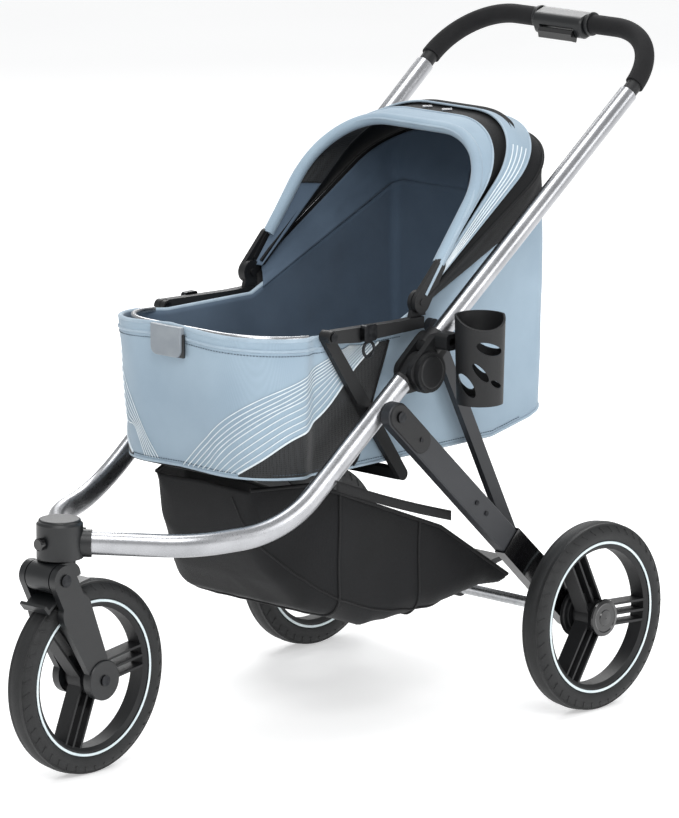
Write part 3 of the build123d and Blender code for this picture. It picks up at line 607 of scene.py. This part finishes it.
band_front = turned(FRONT, MIDDLE, -0.12)
tape_end, blue_start = turned(FRONT, MIDDLE, 0.36), turned(FRONT, MIDDLE, 0.72)
hood_middle = turned(MIDDLE, BACK, 0.45)
band, band_cut = sheet_of("hood_front_band", hood(band_front, tape_end, 3.0, -1.2, 1.0), 200, 14,
                          blue_oxford, "canopy_front", 1.2)
gusset, gusset_cut = sheet_of("hood_black_gusset", hood(tape_end, MIDDLE, 2.2, 5.0, 2.0), 200, 18,
                              black_oxford, None, 1.2)
second, second_cut = sheet_of("hood_second_band", hood(blue_start, hood_middle, 5.5, -1.0, 3.0), 200, 16,
                              blue_oxford, "canopy_mid", 1.2)
rear, rear_cut = sheet_of("hood_rear_section", hood(MIDDLE, BACK, 2.6, 2.0, 4.0), 200, 14,
                          black_oxford, None, 1.2)
for piece, name in ((band, "canopy_front_skin"), (rear, "canopy_back_skin")):
    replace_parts(piece, name)


def along_hoop(hoop, out, keep=0.97, count=160):
    return [hoop_at(hoop, -keep + 2 * keep * k / count, out) for k in range(count + 1)]


def band_stitch(share):
    return hoop_at(FRONT, 1.9 * share - 0.95, 5.0)


band_trims = [cord("hood_front_piping", along_hoop(band_front, 3.4), 2.4, blue_binding_painted_highlight, "canopy_front"),
              cord("hood_band_piping", along_hoop(tape_end, 3.6), 1.8, blue_binding_painted_highlight, "canopy_front"),
              stitches("hood_band_stitching", band_stitch, 170, "canopy_front")]
second_trims = [cord("hood_second_piping", along_hoop(blue_start, 5.6), 1.8, blue_binding_painted_highlight, "canopy_mid"),
                cord("hood_second_back_piping", along_hoop(hood_middle, 5.6), 1.8, blue_binding_painted_highlight,
                     "canopy_mid")]
for k in range(4):
    row = turned(blue_start, hood_middle, 0.2 + 0.19 * k)
    spots = [hoop_at(row, 0.35 + 0.6 * j / 60, 6.6 + 0.9) for j in range(61)]
    second_trims.append(cord("hood_print_long_%d" % k, spots, 1.0, pale_print, "canopy_mid"))
band_trims.append(cord("hood_front_roll", along_hoop(FRONT, -2.0, 0.84), 9.0, blue_oxford, "canopy_front"))
rear_trims = [cord("hood_rear_piping", along_hoop(BACK, 3.2), 2.4, black_webbing, "front_frame")]
hang(band, band_cut)
hang(gusset, gusset_cut)
hang(second, second_cut)
hang(rear, rear_cut)
for spot in (-0.06, 0.03):
    tip, foot = hoop_at(tape_end, spot, 9.0), hoop_at(turned(FRONT, MIDDLE, 0.5), spot + 0.02, 6.0)
    cord("hood_zip_pull_%s" % ("left" if spot < 0 else "right"), [tip, blended(tip, foot, 0.5), foot], 2.4,
         zinc_steel, "canopy_front")


def back_wall(low_way, high_way, out):
    """Wall between the tub's back edge and the back hoop."""
    def place(u, v):
        way = blended(low_way, high_way, u)
        share = math.copysign((HALF_ROUND - abs(way)) / (HALF_ROUND - 455) * 0.97, way)
        foot = tub_at(way, table(TUB_TOP, abs(way)) - 2, out)
        head = hoop_at(BACK, share, out - 1.5)
        belly = 3 * math.sin(math.pi * v) * noise.noise(Vector((way / 80, v * 2, 5)))
        return blended(foot, head, v) + Vector((math.copysign(belly, way), belly, 0)) * MM
    return place


for name, low_way, high_way, finish in (("near", 458, 770, black_oxford), ("far", -770, -458, black_oxford)):
    side, cut = sheet_of("hood_side_gusset_" + name, back_wall(low_way, high_way, 0.5), 60, 14, finish,
                          "front_frame", 1.2)
    hang(side, cut)
for name, low_way, high_way in (("near", 462, HALF_ROUND), ("far", -HALF_ROUND, -462)):
    inner, cut = sheet_of("hood_wall_lining_" + name, back_wall(low_way, high_way, -8.0), 90, 14,
                          slate_lining_painted_shade, "front_frame", 1.0)
    hang(inner, cut)
for name, low_way, high_way in (("near", 770, HALF_ROUND), ("far", -HALF_ROUND, -770)):
    wall, cut = sheet_of("hood_back_net_" + name, back_wall(low_way, high_way, 0.5), 26, 12, black_net,
                          "front_frame", 1.0)
    hang(wall, cut)

# Lining under the hood: slate with painted shade at the sides, open net with painted-shade holes over the
# top.
hood_lining, hood_lining_cut = sheet_of("hood_lining_net", hood(FRONT, MIDDLE, -6.0, 2.0, 6.0, 0.62), 120, 14,
                                         black_net, None, 1.0)
hang(hood_lining, hood_lining_cut)


def slate_side(side):
    def place(u, v):
        return hoop_at(turned(FRONT, MIDDLE, v), side * (0.97 - 0.35 * u), -6.0)
    return place


for name, side in (("near", 1), ("far", -1)):
    panel, cut = sheet_of("hood_slate_panel_" + name, slate_side(side), 50, 14, slate_lining_painted_shade, None, 1.0)
    hang(panel, cut)
    hoop_at(MIDDLE, 0.0)
    hoop_at(FRONT, 0.0)
    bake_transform(panel)
hoop_at(MIDDLE, 0.0)
hoop_at(FRONT, 0.0)
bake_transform(hood_lining)
hoop_at(MIDDLE, 0.0)
hoop_at(FRONT, 0.0)
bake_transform(gusset)
hoop_at(BACK, 0.0)
hoop_at(MIDDLE, 0.0)
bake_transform(rear)


# ---------------------------------------------------------------- basket
BASKET_FOOT = ((0.0, -520, 380), (0.07, -512, 335), (0.14, -502, 288), (0.24, -470, 238), (0.34, -438, 198),
               (0.52, -330, 158), (0.74, -200, 160), (0.97, -54, 174), (1.0, -44, 184))
BASKET_RIM = ((-520, 383), (-440, 385), (-190, 285), (-40, 186))
BASKET_HALF = ((-524, 92), (-400, 157), (-30, 157))


def basket_at(u, v, out=0.0):
    """Basket cloth: u from its front to its rear, v from one rim under to the other."""
    spot = 0
    while spot < len(BASKET_FOOT) - 2 and u > BASKET_FOOT[spot + 1][0]:
        spot += 1
    (a, y0, z0), (b, y1, z1) = BASKET_FOOT[spot], BASKET_FOOT[spot + 1]
    share = (u - a) / (b - a)
    y, low = blended(y0, y1, share), blended(z0, z1, share)
    high = max(low + 0.5, table(BASKET_RIM, y))
    half = table(BASKET_HALF, y) + out
    bend = min(34.0, (high - low) * 0.8)
    wall, turn, floor = high - low - bend, bend * math.pi / 2, half - bend
    way = (1 - abs(2 * v - 1)) * (wall + turn + floor)
    if way < wall:
        x, z = half, high - way
    elif way < wall + turn:
        lean = (way - wall) / bend if bend else 0
        x, z = half - bend + bend * math.cos(lean), low + bend - (bend + out) * math.sin(lean)
    else:
        x, z = half - bend - (way - wall - turn), low - out
    slack = 3.0 * noise.noise(Vector((y / 60, way / 70, 8))) - 1.5 * math.sin(math.pi * min(1, way / 160))
    x += slack * (way > 4) * (1 if way < wall + turn else 0)
    side = math.copysign(x, 0.5 - v) if abs(v - 0.5) > 1e-6 else 0.0
    return at(side, y, z + (abs(slack) if way >= wall else 0))


bag, bag_cut = sheet_of("basket_cloth", basket_at, 110, 90, black_oxford, "front_frame", 1.2)
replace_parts(bag, "basket")
for name, v in (("near", 0.0), ("far", 1.0)):
    cord("basket_rim_binding_" + name, [basket_at(k / 90, v) for k in range(91)], 3.0,
                          black_webbing, "front_frame")
for name, u in (("front", 0.4), ("middle", 0.68)):
    cord("basket_seam_" + name, [basket_at(u, k / 90, 1.6) for k in range(91)], 1.8,
                          black_webbing, "front_frame")
corner_way = [basket_at(0.02 + 0.96 * k / 80, 0.24, 1.0) for k in range(81)]
cord("basket_corner_piping", corner_way, 1.8, black_webbing, "front_frame")
hang(bag, bag_cut)


def strap(side):
    def place(u, v):
        sag = 3 * math.sin(math.pi * u)
        z = blended(397, 314, u) - sag + (v - 0.5) * 15
        return at(side * (204.5 + 0.2 * u), blended(-458, -219, u), z)
    return place


for name, side in (("near", 1), ("far", -1)):
    web, cut = sheet_of("basket_strap_" + name, strap(side), 40, 3, black_webbing, None, 1.4)
    if side > 0:
        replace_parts(web, "basket_straps")
    hang(web, cut)
    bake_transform(web)


# ---------------------------------------------------------------- wheels
def spun(name, centre, radius, thick, depth, finish, body):
    """Ring spun round a wheel's axle from a small rounded section."""
    bm = bmesh.new()
    section = bmesh.ops.create_circle(bm, cap_ends=False, segments=10, radius=1)["verts"]
    for vert in section:
        vert.co = Vector((vert.co.x * depth, 0, radius + vert.co.y * thick)) * MM
    bmesh.ops.spin(bm, geom=bm.verts[:] + bm.edges[:], cent=(0, 0, 0), axis=(1, 0, 0),
                   angle=2 * math.pi, steps=120, use_merge=True)
    bmesh.ops.translate(bm, vec=at(*centre), verts=bm.verts)
    return publish(bm, name, finish, body)


WHEELS = (("front_wheel", 0, -757), ("left_wheel", 285, 0), ("right_wheel", -285, 0))
WHEEL_R = 140
RING_R = 110.7
RIM_FACE = 17.5                    # from the middle of a wheel to the face that holds its ring
for body, x, y in WHEELS:
    for name, side in (("outer", 1), ("inner", -1)):
        spun("%s_ring_%s" % (body, name), (x + side * RIM_FACE, y, WHEEL_R), RING_R, 2.0, 0.9, ring_enamel,
             body)


LUGS = 44                          # on each shoulder of a tyre


def lugs(body, x, y):
    """Moulded bars on the shoulders of a tyre, each set on the rubber where a ray meets it."""
    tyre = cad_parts[body + "_tyre"]
    to_tyre = tyre.matrix_world.inverted()
    bm = bmesh.new()
    for side in (1, -1):
        for k in range(LUGS):
            turn = 2 * math.pi * k / LUGS
            spoke = Vector((0, math.cos(turn), math.sin(turn)))
            start = at(x, y, WHEEL_R) + spoke * 0.131 + Vector((side * 0.08, 0, 0))
            hit, spot, normal, _ = tyre.ray_cast(to_tyre @ start, to_tyre.to_3x3() @ Vector((-side, 0, 0)))
            if not hit:
                continue
            bar = bmesh.ops.create_cube(bm, size=1)["verts"]
            bmesh.ops.scale(bm, vec=Vector((11, 2.6, 1.6)) * MM, verts=bar)
            edges = list({edge for vert in bar for edge in vert.link_edges})
            bar = bmesh.ops.bevel(bm, geom=edges, offset=0.5 * MM, segments=2, profile=0.5, affect="EDGES",
                                  material=-1)["verts"]
            out = (tyre.matrix_world.to_3x3() @ normal).normalized()
            lean = (spoke - out * spoke.dot(out)).normalized()
            skew = Matrix.Rotation(0.6 * side, 3, out) @ lean
            turned_to = Matrix((skew, out.cross(skew), out)).transposed().to_4x4()
            placed = Matrix.Translation(tyre.matrix_world @ spot) @ turned_to
            bmesh.ops.transform(bm, verts=bar, matrix=placed)
    return publish(bm, body + "_tyre_lugs", tyre_rubber, body, smooth=False)


for body, x, y in WHEELS:
    lugs(body, x, y)

# ---------------------------------------------------------------- room
# Each soft light's place and size in metres, and its power in watts.
LIGHTS = (("key_light", (3.2, -3.0, 4.2), 2.6, 125),
          ("side_light", (5.0, 1.6, 1.6), 2.2, 60),
          ("back_light", (-2.8, 2.6, 3.2), 2.4, 90),
          ("top_light", (0.0, -0.4, 4.6), 2.0, 60))


def room():
    """Pale level floor, four soft lights and the camera."""
    bm = bmesh.new()
    bmesh.ops.create_grid(bm, x_segments=1, y_segments=1, size=40)
    mesh = bpy.data.meshes.new("studio_floor")
    bm.to_mesh(mesh)
    bm.free()
    floor = bpy.data.objects.new("studio_floor", mesh)
    bpy.context.scene.collection.objects.link(floor)
    paper = finish_of("matt_studio_paper", "F4F4F4", "F1F1F1", 900, (0.85, 0.95), 4.0, 0.01,
                      {"Emission Color": tone("FFFFFF"), "Emission Strength": 0.42})
    mesh.materials.append(paper)
    world = bpy.data.worlds.new("studio_air")
    bpy.context.scene.world = world
    world.use_nodes = True
    air = world.node_tree.nodes["Background"]
    air.inputs["Color"].default_value = tone("FBFCFD")
    air.inputs["Strength"].default_value = 0.55
    for name, place, size, power in LIGHTS:
        data = bpy.data.lights.new(name, "AREA")
        data.size = size
        data.energy = power
        lamp = bpy.data.objects.new(name, data)
        lamp.location = place
        lamp.rotation_euler = (Vector((0, 0, 0.45)) - Vector(place)).to_track_quat("-Z", "Y").to_euler()
        bpy.context.scene.collection.objects.link(lamp)
    data = bpy.data.cameras.new("studio_camera")
    data.lens = 276.4
    data.sensor_width = 36
    camera = bpy.data.objects.new("studio_camera", data)
    camera.location = at(6164.8, -6735.0, 2365.3)
    aim = at(0, -237, 443.7) - camera.location
    camera.rotation_euler = aim.to_track_quat("-Z", "Y").to_euler()
    data.clip_end = 100
    bpy.context.scene.collection.objects.link(camera)
    bpy.context.scene.camera = camera


room()
bpy.context.scene.view_settings.view_transform = "Standard"
